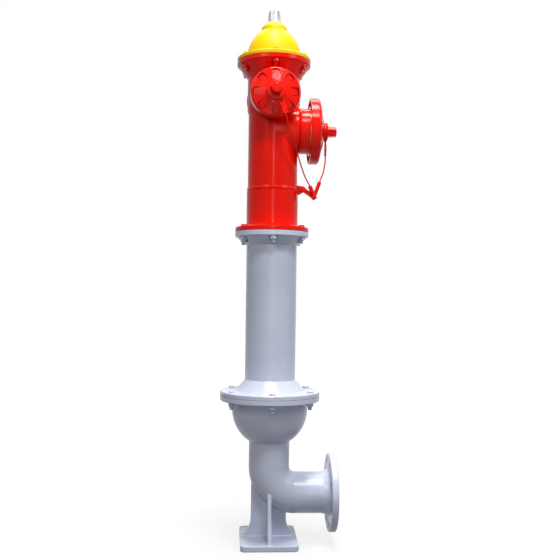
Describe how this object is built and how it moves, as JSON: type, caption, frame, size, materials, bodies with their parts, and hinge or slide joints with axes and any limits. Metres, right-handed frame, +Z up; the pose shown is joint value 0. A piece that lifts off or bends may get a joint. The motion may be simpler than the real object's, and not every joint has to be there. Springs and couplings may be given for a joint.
{
  "type": "fire hydrant",
  "caption": "Dry barrel pillar hydrant on a duckfoot elbow: grey buried section, red barrel with two hose outlets and a pumper outlet under cabled screw caps, yellow bonnet.",
  "frame": {"origin": "centre of the underside of the foot slab, on the barrel axis", "axes": "+Z up along the barrel, +X towards the inlet flange and the pumper outlet, -Y towards the front hose outlet"},
  "size_m": [0.331, 0.324, 1.5237],
  "materials": {
    "grey_paint": "light bluish grey paint on a slightly rough casting",
    "red_paint": "glossy red paint",
    "yellow_paint": "glossy yellow paint",
    "bronze": "machined bronze",
    "rubber": "matt black rubber",
    "steel": "stainless and zinc plated steel"
  },
  "bodies": {
    "body": {"elbow_foot": "grey_paint", "inlet_leg": "grey_paint", "valve_bowl": "grey_paint", "base_gasket": "rubber", "seat_ring": "bronze", "seat_o_ring": "rubber", "standpipe": "grey_paint", "base_bolts": "grey_paint", "base_nuts": "grey_paint", "barrel_gasket": "rubber", "upper_barrel": "red_paint", "barrel_bolts": "red_paint", "barrel_nuts": "grey_paint", "bonnet_gasket": "rubber", "bonnet": "yellow_paint", "bonnet_bolts": "yellow_paint", "bonnet_nuts": "red_paint", "hold_down_nut": "yellow_paint", "thrust_washers": "bronze", "stem_bush": "bronze", "stem_o_rings": "rubber", "front_nozzle": "bronze", "rear_nozzle": "bronze", "pumper_nozzle": "bronze", "front_cable_sleeve": "red_paint", "pumper_cable_sleeve": "red_paint", "lug_bolt": "red_paint", "lug_nut": "red_paint", "cable_link": "red_paint", "link_pin": "red_paint"},
    "operating_nut": {"operating_nut": "steel"},
    "valve_stem": {"upper_stem": "steel", "stem_coupling": "grey_paint", "coupling_pins": "steel", "lower_stem": "steel", "upper_valve_plate": "bronze", "main_valve": "rubber", "lower_valve_plate": "grey_paint", "valve_nut": "steel"},
    "front_carrier": {"front_cap_gasket": "rubber", "front_cable_loop": "red_paint", "front_cable_ferrule": "red_paint", "front_cable": "red_paint"},
    "front_cap": {"front_cap": "red_paint"},
    "rear_carrier": {"rear_cap_gasket": "rubber"},
    "rear_cap": {"rear_cap": "red_paint"},
    "pumper_carrier": {"pumper_cap_gasket": "rubber", "pumper_cable_loop": "red_paint", "pumper_cable_ferrule": "red_paint", "pumper_cable": "red_paint"},
    "pumper_cap": {"pumper_cap": "red_paint"}
  },
  "joints": [
    {"name": "operating_nut_turn", "type": "hinge", "parent": "body", "child": "operating_nut", "pos_m": [0, 0, 1.46], "axis": [0, 0, 1], "range_deg": [0, 3240]},
    {"name": "main_valve_travel", "type": "slide", "parent": "body", "child": "valve_stem", "axis": [0, 0, 1], "range_m": [-0.054, 0]},
    {"name": "front_cap_travel", "type": "slide", "parent": "body", "child": "front_carrier", "axis": [0, -1, 0], "range_m": [0, 0.024]},
    {"name": "front_cap_turn", "type": "hinge", "parent": "front_carrier", "child": "front_cap", "pos_m": [0, -0.12, 1.2585], "axis": [0, -1, 0], "range_deg": [0, 1440]},
    {"name": "rear_cap_travel", "type": "slide", "parent": "body", "child": "rear_carrier", "axis": [0, 1, 0], "range_m": [0, 0.024]},
    {"name": "rear_cap_turn", "type": "hinge", "parent": "rear_carrier", "child": "rear_cap", "pos_m": [0, 0.12, 1.2585], "axis": [0, 1, 0], "range_deg": [0, 1440]},
    {"name": "pumper_cap_travel", "type": "slide", "parent": "body", "child": "pumper_carrier", "axis": [1, 0, 0], "range_m": [0, 0.024]},
    {"name": "pumper_cap_turn", "type": "hinge", "parent": "pumper_carrier", "child": "pumper_cap", "pos_m": [0.135, 0, 1.1745], "axis": [1, 0, 0], "range_deg": [0, 1440]}
  ],
  "couplings": [
    {"joint": "operating_nut_turn", "follows": "main_valve_travel", "rad_per_m": -1047.2},
    {"joint": "front_cap_travel", "follows": "front_cap_turn", "m_per_rad": 0.00095493},
    {"joint": "rear_cap_travel", "follows": "rear_cap_turn", "m_per_rad": 0.00095493},
    {"joint": "pumper_cap_travel", "follows": "pumper_cap_turn", "m_per_rad": 0.00095493}
  ]
}
